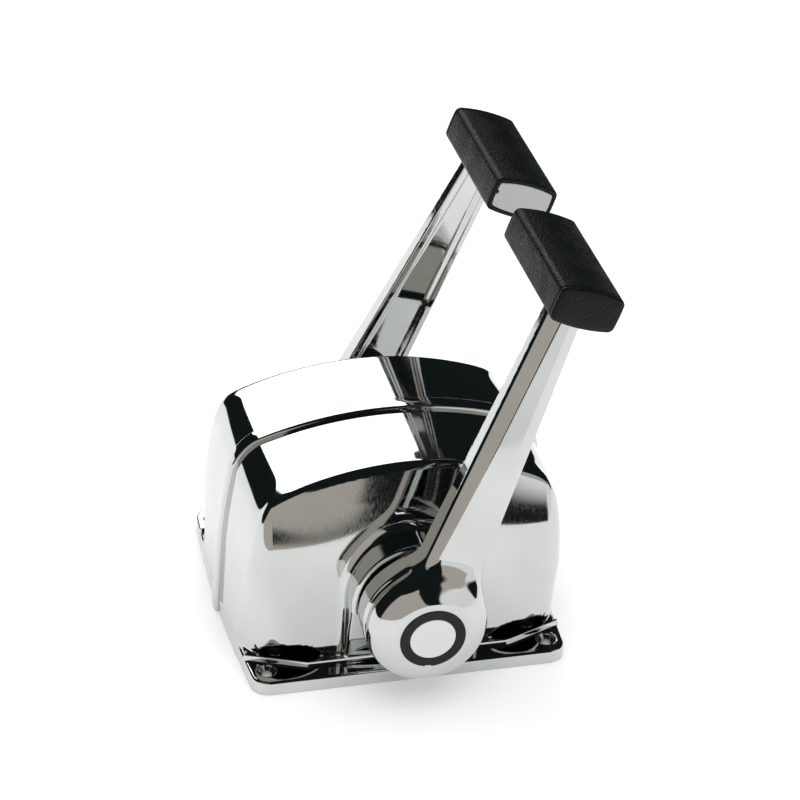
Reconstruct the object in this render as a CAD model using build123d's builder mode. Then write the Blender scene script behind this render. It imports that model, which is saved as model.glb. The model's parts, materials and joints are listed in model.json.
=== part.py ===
from build123d import *
from math import cos, radians, sin, sqrt
import os

os.makedirs("parts", exist_ok=True)

# Twin lever boat control. Millimetres. X is fore and aft with +X forward, Y runs
# along the lever shafts with +Y to port, Z is up. The origin is the middle of the
# four mounting holes, on the face that meets the deck.

# Housing
base_length = 200.0  # between the flange ends, along X
base_width = 192.0  # across both flanges, along Y
end_bulge = 4.0  # each end stands this far out at mid-width
flange_height = 9.5
flange_corner = 10.0
flange_edge = 1.6
ledge_width = 17.0  # of the flange, beyond the side wall's foot
side_lean = 12.0  # the side walls lean in by this up to the shoulder
shoulder_height = 117.0
wall_bow = 2.0  # the side walls bow out by this at mid-height
crown_height = 140.5
crown_drop = 2.4  # the dome is this much lower above the flange edges
dome_radius_mid = 239.0
dome_radius_side = 161.0
dome_corner = 13.0
knee_height = 56.0  # the ends stand straight up to here and lean in above
end_draft = 1.2
end_lean = 10.0
end_bow = 1.4  # the leaning part bows out by this at mid-height
wall = 5.5
side_edge = 4.0  # rounding between dome and side wall
corner_foot = 32.0  # vertical corner radius at the flange
corner_knee = 15.0
corner_top = 1.6
corner_steps = 8

# Corner pockets, ribs and fasteners
mount_inset_x = 10.0  # from the flange's end to the mounting hole
mount_inset_y = 13.0  # from the flange's side to the mounting hole
mount_hole = 6.6
mount_sink = 12.0
screw_inset_x = 18.5
screw_inset_y = 29.0
screw_size = 5.0
screw_head = 9.6
screw_socket = 3.0  # across flats, for an angled key
plate_margin = 7.0  # from the cover screws' line to the deck plate's edge
pocket_floor = 11.0
pocket_radius = 16.0
rib_height = 3.0
rib_width = 1.8
rib_offset = 3.5  # from the side wall's foot to the rib
rib_run = 35.0  # from the flange's end to where the rib turns to the corner
rib_inset = 28.0  # from the flange's side to where the rib meets the end face

# Band over the seam
band_width = 11.5
band_proud = 3.0
band_depth = 1.6
band_edge = 1.8

# Shaft line and hub
axis_height = 58.0
shaft_size = 16.0
journal_size = 14.0
seat_size = 14.0
running_gap = 0.05  # radial clearance of a turning fit
seat_gap = 0.02
screw_gap = 0.25  # radial clearance of a screw in its hole
boss_proud = 14.5  # from the side wall's foot to the boss face
boss_radius = 41.0
boss_flare = 4.0
bush_wall = 3.0
outer_bush_length = 28.0
inner_bush_length = 11.0
seal_radius = 27.0
seal_thickness = 1.8
hub_gap = 0.5  # from the seal to the hub
hub_length = 36.1
hub_radius = 38.8
hub_nose = 21.6
hub_land = 12.0  # length of the plain rim at the back
hub_land_drop = 0.8
hub_neck = 2.4  # the groove in the rim is this deep
hub_neck_start = 14.5
hub_neck_end = 17.5
hub_round_start = 25.0
hub_round_mid = 31.5
hub_round_drop = 6.8
hub_back_edge = 1.2
ring_radius = 20.3
ring_hole = 14.3
cap_depth = 3.0
bolt_size = 8.0
bolt_head = 13.0
bolt_head_height = 8.0
bolt_socket = 6.0
bolt_thread = 12.0  # length of thread in the shaft
bolt_bore = 16.0
washer_radius = 9.0
washer_thickness = 1.6
key_size = 5.0
key_length = 18.0
key_set = 2.0  # from the hub's back to the key
circlip_thickness = 1.2

# Lever arm, measured along its centre line from the shaft axis
lever_lean = 21.5  # degrees forward of upright, at rest
arm_end = 222.0
arm_root = 14.0
arm_set = 7.7  # from the hub's back to the arm's back, at the axis
arm_back_slope = 0.0846
arm_half_root = 21.5
arm_half_slope = 0.045
arm_side_root = 15.6  # height of the arm's side face at the axis
arm_side_slope = 0.0325
panel_half_root = 16.0
panel_half_slope = 0.055
panel_raise = 2.8
channel_depth = 2.6
channel_edge = 4.5

# Grip
grip_centre = 227.5
grip_length = 97.5
grip_proud = 12.0  # beyond the arm's back at the axis
grip_width = 42.5
grip_height = 25.5
grip_crown = 1.6
grip_corner = 5.0
grip_tilt = 2.5
grip_cap_length = 4.0
grip_end_edge = 1.8
bar_width = 25.0
bar_height = 11.0
bar_gap = 1.0  # from each end of the bar to what closes the grip
blank_width = 31.0
blank_height = 15.5
blank_thickness = 2.2
blank_corner = 3.5

# Inner frame
deck_plate = 5.0
plate_gap = 0.3
pedestal_width = 28.0
pedestal_foot = 92.0
pedestal_boss = 17.0
bridge_wall = 1.5  # round the plunger sleeves, at the bridge's ends
bridge_length = 26.0
bridge_bottom = 97.0
bridge_top = 110.0
cable_slot_length = 120.0
cable_slot_inner = 30.0
cable_slot_margin = 15.0  # from the deck plate's side to the slot

# Detent
disc_radius = 26.0
disc_thickness = 8.0
disc_clearance = 3.0  # from the pedestal to the disc
notch_angle = 30.0
notch_depth = 1.6
plunger_size = 6.0
plunger_length = 17.0
sleeve_size = 12.0
sleeve_hex = 13.0  # across flats
sleeve_drop = 4.0  # below the bridge
touch_gap = 0.3

# Crank arm and cable fittings
crank_gap = 3.5  # from the bridge's end to the crank arm
crank_thickness = 6.0
crank_radius = 45.0
crank_root = 14.0
crank_tip = 9.0
barrel_size = 12.0
barrel_pin = 8.0
barrel_length = 13.0
cable_hole = 5.0
clip_thickness = 1.0
clamp_length = 20.0
clamp_height = 8.0
clamp_wall = 5.0
clamp_screw = 5.0
clamp_head = 8.5
clamp_head_height = 4.0
clamp_set = 38.25  # from mid-length back to the clamp
conduit_size = 9.0

# Values that follow from the ones above
lean = radians(lever_lean)
lever_axis = Vector(sin(lean), 0, cos(lean))
lever_across = Vector(cos(lean), 0, -sin(lean))
shaft_centre = Vector(0, 0, axis_height)
half_foot = base_width / 2 - ledge_width
half_shoulder = half_foot - side_lean
top_line = crown_height + 2 * wall
mount_spacing_x = base_length - 2 * mount_inset_x
mount_spacing_y = base_width - 2 * mount_inset_y
screw_spacing_x = base_length - 2 * screw_inset_x
screw_spacing_y = base_width - 2 * screw_inset_y
rib_bend = base_length / 2 - rib_run
rib_end = base_width / 2 - rib_inset
plate_length = base_length - 2 * plate_margin
plate_width = screw_spacing_y + 2 * plate_margin
cable_slot_outer = plate_width / 2 - cable_slot_margin
boss_reach = half_foot + boss_proud
hub_back = boss_reach + seal_thickness + hub_gap
hub_front = hub_back + hub_length
arm_back_root = hub_back + arm_set
grip_outer = arm_back_root + grip_proud
grip_inner = grip_outer - grip_length
disc_inner = pedestal_width / 2 + disc_clearance
disc_outer = disc_inner + disc_thickness
disc_middle = (disc_inner + disc_outer) / 2
bridge_width = 2 * (disc_middle + sleeve_size / 2 + bridge_wall)
crank_inner = bridge_width / 2 + crank_gap
crank_outer = crank_inner + crank_thickness
barrel_middle = crank_outer + touch_gap + barrel_length / 2
bush_inner_face = boss_reach - outer_bush_length
circlip_outer = bush_inner_face - touch_gap
inner_bush_outer = pedestal_width / 2
shaft_inner_end = inner_bush_outer - inner_bush_length
clamp_x = -clamp_set
clamp_pitch = clamp_length - 2 * clamp_wall
clamp_screw_y = (cable_slot_outer + plate_width / 2) / 2
washer_face = hub_front - cap_depth - bolt_head_height - washer_thickness
disc_back = hub_front - 0.7 * cap_depth
key_start = hub_back + key_set
bar_start = grip_inner + blank_thickness + bar_gap
bar_stop = grip_outer - grip_cap_length - bar_gap


def wall_half(height):
    """Half the width across the bowed side walls at a height."""
    share = (height - flange_height) / (shoulder_height - flange_height)
    return half_foot - (half_foot - half_shoulder) * share + 4 * wall_bow * share * (1 - share)


def end_half(y):
    """Half the length of the base at the deck, at a distance from mid-width."""
    return base_length / 2 + end_bulge * (1 - (2 * y / base_width) ** 2)


def dome_arc(y):
    """Crown height and radius of the dome at a distance from mid-width."""
    share = (2 * y / base_width) ** 2
    return crown_height - crown_drop * share, dome_radius_mid + (dome_radius_side - dome_radius_mid) * share


def end_corner(y, inset=0.0):
    """Where the leaning end meets the dome, before that corner is rounded."""
    crown, radius = dome_arc(y)
    x = end_half(y) - end_lean - inset
    return x, crown - radius + sqrt((radius - inset) ** 2 - x**2)


def end_reach(y, height):
    """Half the length of the base at a distance from mid-width and at a height."""
    half = end_half(y)
    if height < knee_height:
        return half - end_draft * height / knee_height
    top_x, top_z = end_corner(y)
    share = (height - knee_height) / (top_z - knee_height)
    return half - end_draft + (top_x - half + end_draft) * share + 4 * end_bow * share * (1 - share)


def corner_radius(height):
    """Radius of the housing's vertical corner at a height."""
    if height < knee_height:
        share = (height - flange_height) / (knee_height - flange_height)
        return corner_foot + (corner_knee - corner_foot) * share
    return corner_knee + (corner_top - corner_knee) * (height - knee_height) / (crown_height - knee_height)


def across(y):
    """Plane across the shaft line at Y = -y, drawn in X and Z, facing starboard."""
    return Plane.XZ.offset(y)


def station(u):
    """Plane square to the lever's centre line at a distance from the shaft axis."""
    return Plane(origin=shaft_centre + lever_axis * u, x_dir=lever_across, z_dir=lever_axis)


def end_profile(y, inset=0.0, low=0.0):
    """Housing outline in X and Z at a distance from mid-width, moved in by inset."""
    half = end_half(y)
    top_x, top_z = end_corner(y, inset)
    knee = (half - end_draft - inset, knee_height)
    foot = (half - inset, low)
    bow = ((knee[0] + top_x) / 2 + end_bow, (knee_height + top_z) / 2)
    with BuildSketch(across(y)) as profile:
        with BuildLine():
            Line((-foot[0], low), foot)
            Line(foot, knee)
            ThreePointArc(knee, bow, (top_x, top_z))
            ThreePointArc((top_x, top_z), (0, dome_arc(y)[0] - inset), (-top_x, top_z))
            ThreePointArc((-top_x, top_z), (-bow[0], bow[1]), (-knee[0], knee[1]))
            Line((-knee[0], knee[1]), (-foot[0], low))
        make_face()
        corners = [v for v in profile.vertices() if abs(v.Y - top_z) < 0.01]
        fillet(corners, radius=dome_corner - inset)
    return profile.sketch


def save(part, name):
    part.label = name
    export_step(part, f"parts/{name}.step")


def save_pair(part, name):
    """Write the starboard piece and its mirror image on the port side."""
    save(part, f"starboard_{name}")
    save(mirror(part, about=Plane.XZ), f"port_{name}")


# Housing block: three end profiles lofted across the width. The cover is cut from it.
with BuildPart() as envelope:
    loft([end_profile(y) for y in (-base_width / 2, 0, base_width / 2)])

# What lies outside the forward corner, whose radius shrinks with height.
with BuildPart() as corner_tool:
    for step in range(corner_steps + 1):
        height = flange_height + (crown_height - flange_height) * step / corner_steps
        radius = corner_radius(height)
        side_y = -wall_half(height)
        end_x = end_reach(side_y, height)
        with BuildSketch(Plane.XY.offset(height)):
            with BuildLine():
                Polyline(
                    (end_x, side_y + radius),
                    (end_x + wall, side_y + radius),
                    (end_x + wall, side_y - wall),
                    (end_x - radius, side_y - wall),
                    (end_x - radius, side_y),
                )
                RadiusArc((end_x - radius, side_y), (end_x, side_y + radius), -radius)
            make_face()
    loft(ruled=True)

# The forward corner's ledge and rib: the rib parts the screw pocket from the mounting hole.
rib_line = half_foot + rib_offset
rib_start = (base_length / 2 + end_bulge, -rib_end)
ledge_inner = -half_shoulder + pocket_radius
with BuildPart() as corner_ledge:
    with BuildSketch(Plane.XY.offset(flange_height)):
        with BuildLine():
            Polyline(
                rib_start,
                (rib_bend, -rib_line),
                (0, -rib_line),
                (0, -half_shoulder),
                (screw_spacing_x / 2, ledge_inner),
                (rib_start[0], ledge_inner),
                close=True,
            )
        make_face()
    extrude(amount=pocket_floor - flange_height)
    with BuildSketch(Plane.XY.offset(flange_height)):
        with BuildLine():
            rib_path = Polyline(rib_start, (rib_bend, -rib_line), (0, -rib_line))
            offset(rib_path, amount=rib_width / 2, side=Side.BOTH)
        make_face()
    extrude(amount=rib_height)
    fillet(corner_ledge.faces().sort_by(Axis.Z)[-1].outer_wire().edges(), radius=rib_width / 4)
    add(envelope.part, mode=Mode.INTERSECT)

# Space inside the housing, left clear of the corners that take the screws.
with BuildPart() as cavity:
    with BuildSketch(across(0)):
        add(end_profile(0, inset=wall + band_proud + band_depth, low=deck_plate))
    extrude(amount=half_foot)
    with BuildSketch(Plane.YZ):
        with BuildLine():
            Polyline(
                (0, deck_plate),
                (wall - wall_half(deck_plate), deck_plate),
                (wall - wall_half(crown_height), crown_height),
                (0, crown_height),
                close=True,
            )
        make_face()
    extrude(amount=base_length, both=True, mode=Mode.INTERSECT)
    with BuildSketch(Plane.XY):
        Rectangle(base_length, 2 * (half_foot - wall))
        chamfer(vertices(), length=rib_run + 2 * wall, length2=half_foot / 2)
    extrude(amount=crown_height, mode=Mode.INTERSECT)

# Starboard cover: the block cut to its side wall and flange, with the shaft boss and
# its skirt, less the cavity, pockets, holes and band groove.
bush_housing = shaft_size / 2 + bush_wall + wall
boss_foot = boss_radius + boss_flare
wall_top = wall_half(top_line)
wall_control = half_foot + (4 * wall_bow - half_foot + half_shoulder) / (
    shoulder_height - flange_height) * (top_line - flange_height) / 2
with BuildPart() as cover:
    add(envelope.part)
    with BuildSketch(Plane.YZ):
        with BuildLine():
            Polyline(
                (-wall_top, top_line),
                (0, top_line),
                (0, 0),
                (-base_width / 2, 0),
                (-base_width / 2, flange_height - flange_edge),
                (-base_width / 2 + flange_edge, flange_height),
                (-half_foot, flange_height),
            )
            Bezier(
                (-half_foot, flange_height),
                (-wall_control, (flange_height + top_line) / 2),
                (-wall_top, top_line),
            )
        make_face()
    extrude(amount=base_length, both=True, mode=Mode.INTERSECT)
    upper_edges = cover.edges().filter_by_position(Axis.Z, shoulder_height - dome_corner, crown_height)
    fillet([e for e in upper_edges if e.center().Y < side_edge - half_shoulder], radius=side_edge)
    for piece, mode in ((corner_tool.part, Mode.SUBTRACT), (corner_ledge.part, Mode.ADD)):
        add(piece, mode=mode)
        add(mirror(piece, about=Plane.YZ), mode=mode)
    flange_corners = [e for e in cover.edges() if 1 < e.center().Z < flange_height - flange_edge
                      and e.center().Y < -rib_line and abs(e.center().X) > rib_bend]
    fillet(flange_corners, radius=flange_corner)
    with BuildSketch(Plane.YZ):
        with BuildLine():
            Polyline(
                (-half_shoulder, axis_height),
                (-half_shoulder, flange_height / 2),
                (-rib_line, flange_height / 2),
                (-rib_line, flange_height + rib_height),
                (-boss_reach, axis_height - boss_flare),
                (-boss_reach, axis_height),
                close=True,
            )
        make_face()
    extrude(amount=boss_radius, both=True)
    with BuildSketch(Plane.YZ):
        with BuildLine():
            Polyline(
                (-half_shoulder, axis_height),
                (-half_shoulder, axis_height + boss_foot),
                (-wall_half(axis_height), axis_height + boss_foot - boss_flare / 2),
                (-boss_reach, axis_height + boss_radius - flange_edge),
                (-boss_reach, axis_height),
                close=True,
            )
        make_face()
    revolve(axis=Axis((0, 0, axis_height), (0, 1, 0)))
    add(cavity.part, mode=Mode.SUBTRACT)
    with BuildSketch(Plane.XY):
        RectangleRounded(plate_length, plate_width, 2 * flange_edge)
    extrude(amount=deck_plate, mode=Mode.SUBTRACT)
    # The bush's housing reaches in from the boss.
    for radius, reach, mode in (
        (bush_housing, half_foot, Mode.ADD),
        (bush_housing, bush_inner_face, Mode.SUBTRACT),
        (shaft_size / 2 + bush_wall, boss_reach, Mode.SUBTRACT),
    ):
        with BuildSketch(across(0)):
            with Locations((0, axis_height)):
                Circle(radius)
        extrude(amount=reach, mode=mode)
    with Locations(Plane.XY.offset(pocket_floor)):
        with Locations((0, -screw_spacing_y / 2)):
            with GridLocations(screw_spacing_x, 0, 2, 1):
                Sphere(pocket_radius, arc_size1=0, align=(Align.CENTER, Align.CENTER, Align.MIN),
                       mode=Mode.SUBTRACT)
                CounterSinkHole(screw_size / 2 + screw_gap, screw_head / 2, depth=pocket_floor)
    with Locations(Plane.XY.offset(flange_height)):
        with Locations((0, -mount_spacing_y / 2)):
            with GridLocations(mount_spacing_x, 0, 2, 1):
                CounterSinkHole(mount_hole / 2, mount_sink / 2, depth=flange_height)
    with BuildSketch(across(0)):
        add(end_profile(0, inset=-wall, low=-wall))
        add(end_profile(0, inset=band_depth, low=-2 * wall), mode=Mode.SUBTRACT)
    extrude(amount=band_width / 2, mode=Mode.SUBTRACT)
    split(bisect_by=Plane.XZ, keep=Keep.TOP)
save_pair(cover.part, "cover")

with BuildPart() as centre_band:
    with BuildSketch(across(0)):
        add(end_profile(0, inset=-band_proud))
        add(end_profile(0, inset=band_depth - seat_gap, low=-wall), mode=Mode.SUBTRACT)
    extrude(amount=band_width / 2, both=True)
    rims = [e for e in centre_band.edges() if abs(abs(e.center().Y) - band_width / 2) < 0.01
            and (e.center().Z > crown_height or abs(e.center().X) > base_length / 2)]
    fillet(rims, radius=band_edge)
save(centre_band.part, "centre_band")

with BuildPart() as cover_screws:
    with BuildSketch(Plane.XZ):
        with BuildLine():
            Polyline(
                (0, deck_plate / 2),
                (screw_size / 2, deck_plate / 2),
                (screw_size / 2, pocket_floor - (screw_head - screw_size) / 2),
                (screw_head / 2 - seat_gap, pocket_floor - seat_gap),
                (0, pocket_floor - seat_gap),
                close=True,
            )
        make_face()
    revolve(axis=Axis.Z)
    with BuildSketch(Plane.XY.offset(pocket_floor)):
        RegularPolygon(screw_socket / 2, 6, major_radius=False)
    extrude(amount=-screw_size / 3, mode=Mode.SUBTRACT)
spots = GridLocations(screw_spacing_x, screw_spacing_y, 2, 2)
save(Compound(children=[loc * cover_screws.part for loc in spots]), "cover_screws")

# Inner frame: deck plate with the cable slots, bearing pedestal, plunger bridge.
with BuildPart() as base_frame:
    with BuildSketch(Plane.XY):
        RectangleRounded(plate_length - 2 * plate_gap, plate_width - 2 * plate_gap, 2 * flange_edge)
        with GridLocations(screw_spacing_x, screw_spacing_y, 2, 2):
            Circle(screw_size / 2 + seat_gap, mode=Mode.SUBTRACT)
        with GridLocations(0, cable_slot_inner + cable_slot_outer, 1, 2):
            Rectangle(cable_slot_length, cable_slot_outer - cable_slot_inner, mode=Mode.SUBTRACT)
        with Locations((clamp_x, 0)):
            with GridLocations(clamp_pitch, 2 * clamp_screw_y, 2, 2):
                Circle(clamp_screw / 2 + seat_gap, mode=Mode.SUBTRACT)
    extrude(amount=deck_plate)
    with BuildSketch(across(0)):
        with BuildLine():
            Polyline(
                (-pedestal_foot / 2, deck_plate),
                (pedestal_foot / 2, deck_plate),
                (bridge_length / 2, axis_height),
                (bridge_length / 2, bridge_top),
                (-bridge_length / 2, bridge_top),
                (-bridge_length / 2, axis_height),
                close=True,
            )
        make_face()
        with Locations((0, axis_height)):
            Circle(pedestal_boss)
    extrude(amount=pedestal_width / 2, both=True)
    with BuildSketch(Plane.XY.offset(bridge_bottom)):
        RectangleRounded(bridge_length, bridge_width, flange_edge)
        with GridLocations(0, disc_inner + disc_outer, 1, 2):
            Circle(sleeve_size / 2, mode=Mode.SUBTRACT)
    extrude(amount=bridge_top - bridge_bottom)
    for side in (-1, 1):
        with BuildSketch(across(side * inner_bush_outer)):
            with Locations((0, axis_height)):
                Circle(journal_size / 2 + bush_wall)
        extrude(amount=-side * inner_bush_length, mode=Mode.SUBTRACT)
save(base_frame.part, "base_frame")


def ring(name, inner, outer, y_in, y_out):
    """Plain ring on the shaft line, starboard side, written with its mirror image."""
    with BuildPart() as made:
        with BuildSketch(across(y_in)):
            with Locations((0, axis_height)):
                Circle(outer)
                if inner:
                    Circle(inner, mode=Mode.SUBTRACT)
        extrude(amount=y_out - y_in)
    save_pair(made.part, name)


ring("outer_bush", shaft_size / 2 + running_gap, shaft_size / 2 + bush_wall, bush_inner_face, boss_reach)
ring("inner_bush", journal_size / 2 + running_gap, journal_size / 2 + bush_wall,
     inner_bush_outer - inner_bush_length, inner_bush_outer)
ring("seal", shaft_size / 2 + touch_gap, seal_radius, boss_reach, boss_reach + seal_thickness)
ring("hub_washer", bolt_size / 2 + screw_gap, washer_radius, washer_face, washer_face + washer_thickness)

# Shaft: inner journal, bearing length, keyed seat for the lever, tapped end, and a
# groove for the circlip.
with BuildPart() as shaft:
    with BuildSketch(Plane.YZ):
        with BuildLine():
            Polyline(
                (-shaft_inner_end - touch_gap, axis_height),
                (-shaft_inner_end - touch_gap, axis_height + journal_size / 2),
                (-disc_inner, axis_height + journal_size / 2),
                (-disc_inner, axis_height + shaft_size / 2),
                (-circlip_outer + circlip_thickness, axis_height + shaft_size / 2),
                (-circlip_outer + circlip_thickness, axis_height + seat_size / 2),
                (-circlip_outer, axis_height + seat_size / 2),
                (-circlip_outer, axis_height + shaft_size / 2),
                (-hub_back, axis_height + shaft_size / 2),
                (-hub_back, axis_height + seat_size / 2),
                (-washer_face + touch_gap, axis_height + seat_size / 2),
                (-washer_face + touch_gap, axis_height),
                close=True,
            )
        make_face()
    revolve(axis=Axis((0, 0, axis_height), (0, 1, 0)))
    with BuildSketch(across(washer_face)):
        with Locations((0, axis_height)):
            Circle(bolt_size / 2)
    extrude(amount=-bolt_bore, mode=Mode.SUBTRACT)
    for start, length in ((key_start, key_length), (disc_inner, disc_thickness),
                          (crank_inner, crank_thickness)):
        size = seat_size if start > hub_back else shaft_size
        with BuildSketch(across(start)):
            with Locations((0, axis_height + size / 2)):
                Rectangle(key_size, key_size)
        extrude(amount=length, mode=Mode.SUBTRACT)
save_pair(shaft.part, "shaft")

ring("circlip", seat_size / 2 + seat_gap, shaft_size / 2 + bush_wall,
     circlip_outer - circlip_thickness + seat_gap, circlip_outer - seat_gap)

with BuildPart() as key:
    with BuildSketch(across(key_start)):
        with Locations((0, axis_height + seat_size / 2)):
            Rectangle(key_size - 2 * seat_gap, key_size - 2 * seat_gap)
    extrude(amount=key_length)
save_pair(key.part, "key")

with BuildPart() as hub_bolt:
    with BuildSketch(across(washer_face - bolt_thread)):
        with Locations((0, axis_height)):
            Circle(bolt_size / 2 - seat_gap)
    extrude(amount=bolt_thread + washer_thickness)
    with BuildSketch(across(washer_face + washer_thickness)):
        with Locations((0, axis_height)):
            Circle(bolt_head / 2)
    extrude(amount=bolt_head_height - touch_gap)
    with BuildSketch(hub_bolt.faces().sort_by(Axis.Y)[0]):
        RegularPolygon(bolt_socket / 2, 6, major_radius=False)
    extrude(amount=-bolt_head_height / 2, mode=Mode.SUBTRACT)
save_pair(hub_bolt.part, "hub_bolt")


def arm_section(u, channel=False):
    """Section of the arm, or of the channel in its back, at a distance from the axis."""
    back = -(arm_back_root - arm_back_slope * u)
    half = arm_half_root - arm_half_slope * u
    side = back - (arm_side_root - arm_side_slope * u)
    panel = panel_half_root - panel_half_slope * u
    with BuildSketch(station(u)) as section:
        with BuildLine():
            if channel:
                Polyline(
                    (-half + channel_edge, back + channel_depth),
                    (-half + channel_edge + channel_depth, back - channel_depth),
                    (half - channel_edge - channel_depth, back - channel_depth),
                    (half - channel_edge, back + channel_depth),
                    close=True,
                )
            else:
                Polyline(
                    (-half, back),
                    (-half, side),
                    (-panel, side - panel_raise),
                    (panel, side - panel_raise),
                    (half, side),
                    (half, back),
                    close=True,
                )
        make_face()
    return section.sketch


def grip_plane(y):
    """Plane across the grip at Y = -y, its first axis along the grip's width."""
    turn = radians(lever_lean - grip_tilt)
    middle = shaft_centre + lever_axis * grip_centre
    return Plane(origin=(middle.X, -y, middle.Z), x_dir=(cos(turn), 0, -sin(turn)), z_dir=(0, -1, 0))


# Lever: turned hub, tapered arm with a channel in its back, and the bar in the grip.
hub_top = axis_height + hub_radius
with BuildPart() as lever:
    with BuildSketch(Plane.YZ):
        with BuildLine():
            Polyline(
                (-hub_front, axis_height),
                (-hub_back, axis_height),
                (-hub_back, hub_top - hub_land_drop - hub_back_edge),
                (-hub_back - hub_back_edge, hub_top - hub_land_drop),
                (-hub_back - hub_land, hub_top - hub_land_drop),
                (-hub_back - hub_neck_start, hub_top - hub_neck),
                (-hub_back - hub_neck_end, hub_top - hub_neck),
                (-hub_back - hub_round_start, hub_top),
            )
            ThreePointArc(
                (-hub_back - hub_round_start, hub_top),
                (-hub_back - hub_round_mid, hub_top - hub_round_drop),
                (-hub_front, axis_height + hub_nose),
            )
            Line((-hub_front, axis_height + hub_nose), (-hub_front, axis_height))
        make_face()
    revolve(axis=Axis((0, 0, axis_height), (0, 1, 0)))
    loft([arm_section(arm_root), arm_section(arm_end)], ruled=True)
    channel_ends = [arm_section(arm_root + hub_radius, True), arm_section(arm_end, True)]
    loft(channel_ends, ruled=True, mode=Mode.SUBTRACT)
    with BuildSketch(grip_plane(bar_start)):
        Rectangle(bar_width, bar_height)
    extrude(amount=bar_stop - bar_start)
    for start, end, radius in (
        (0, washer_face, seat_size / 2 + seat_gap),
        (washer_face, hub_front, washer_radius + seat_gap),
        (hub_front - cap_depth, hub_front, ring_radius + seat_gap),
    ):
        with BuildSketch(across(start)):
            with Locations((0, axis_height)):
                Circle(radius)
        extrude(amount=end - start, mode=Mode.SUBTRACT)
    with BuildSketch(across(hub_back)):
        with Locations((0, axis_height + seat_size / 2)):
            Rectangle(key_size, key_size)
    extrude(amount=key_set + key_length, mode=Mode.SUBTRACT)
save_pair(lever.part, "lever")

with BuildPart() as hub_ring:
    with BuildSketch(across(hub_front - cap_depth)):
        with Locations((0, axis_height)):
            Circle(ring_radius)
    extrude(amount=cap_depth)
    with BuildSketch(across(disc_back)):
        with Locations((0, axis_height)):
            Circle(ring_hole)
    extrude(amount=cap_depth, mode=Mode.SUBTRACT)
save_pair(hub_ring.part, "hub_ring")
ring("hub_disc", 0, ring_hole - seat_gap, disc_back, hub_front)


def grip_profile():
    """Cross-section of the grip: crowned above and below, rounded at the corners."""
    side, top = grip_width / 2, grip_height / 2
    with BuildSketch() as profile:
        with BuildLine():
            ThreePointArc((-side, top - grip_crown), (0, top), (side, top - grip_crown))
            Line((side, top - grip_crown), (side, grip_crown - top))
            ThreePointArc((side, grip_crown - top), (0, -top), (-side, grip_crown - top))
            Line((-side, grip_crown - top), (-side, top - grip_crown))
        make_face()
        fillet(profile.vertices(), radius=grip_corner)
    return profile.sketch


cap_face = grip_outer - grip_cap_length
with BuildPart() as grip:
    with BuildSketch(grip_plane(grip_inner)):
        add(grip_profile())
    extrude(amount=cap_face - grip_inner)
    fillet(grip.faces().sort_by(Axis.Y)[-1].edges(), radius=grip_end_edge)
    with BuildSketch(grip_plane(grip_inner)):
        RectangleRounded(blank_width, blank_height, blank_corner)
    extrude(amount=blank_thickness, mode=Mode.SUBTRACT)
    add(lever.part, mode=Mode.SUBTRACT)
save_pair(grip.part, "grip")

with BuildPart() as grip_cap:
    with BuildSketch(grip_plane(cap_face)):
        add(grip_profile())
    extrude(amount=grip_cap_length)
    fillet(grip_cap.faces().sort_by(Axis.Y)[0].edges(), radius=grip_end_edge)
save_pair(grip_cap.part, "grip_cap")

with BuildPart() as grip_plate:
    with BuildSketch(grip_plane(grip_inner)):
        RectangleRounded(blank_width - 2 * seat_gap, blank_height - 2 * seat_gap, blank_corner)
    extrude(amount=blank_thickness)
save_pair(grip_plate.part, "grip_plate")

# Detent disc with its three notches: neutral, and a stop for the hand each way.
with BuildPart() as detent_disc:
    with BuildSketch(across(disc_inner)):
        with Locations((0, axis_height)):
            Circle(disc_radius)
            Circle(shaft_size / 2 + seat_gap, mode=Mode.SUBTRACT)
        with Locations((0, axis_height + shaft_size / 2)):
            Rectangle(key_size, key_size, mode=Mode.SUBTRACT)
        for turn in (-notch_angle, 0, notch_angle):
            angle = radians(lever_lean + turn)
            reach = disc_radius + plunger_size / 2 - notch_depth
            with Locations((reach * sin(angle), axis_height + reach * cos(angle))):
                Circle(plunger_size / 2, mode=Mode.SUBTRACT)
    extrude(amount=disc_thickness)
save_pair(detent_disc.part, "detent_disc")

tip = (-crank_radius * cos(lean), axis_height + crank_radius * sin(lean))
with BuildPart() as crank_arm:
    with BuildSketch(across(crank_inner)):
        with Locations((0, axis_height)):
            Circle(crank_root)
        with Locations(tip):
            Circle(crank_tip)
        make_hull()
        with Locations((0, axis_height)):
            Circle(shaft_size / 2 + seat_gap, mode=Mode.SUBTRACT)
        with Locations((0, axis_height + shaft_size / 2)):
            Rectangle(key_size, key_size, mode=Mode.SUBTRACT)
        with Locations(tip):
            Circle(barrel_pin / 2 + running_gap, mode=Mode.SUBTRACT)
    extrude(amount=crank_thickness)
save_pair(crank_arm.part, "crank_arm")

with BuildPart() as drive_keys:
    for start, length in ((disc_inner, disc_thickness), (crank_inner, crank_thickness)):
        with BuildSketch(across(start)):
            with Locations((0, axis_height + shaft_size / 2)):
                Rectangle(key_size - 2 * seat_gap, key_size - 2 * seat_gap)
        extrude(amount=length)
save_pair(drive_keys.part, "drive_keys")

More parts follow.
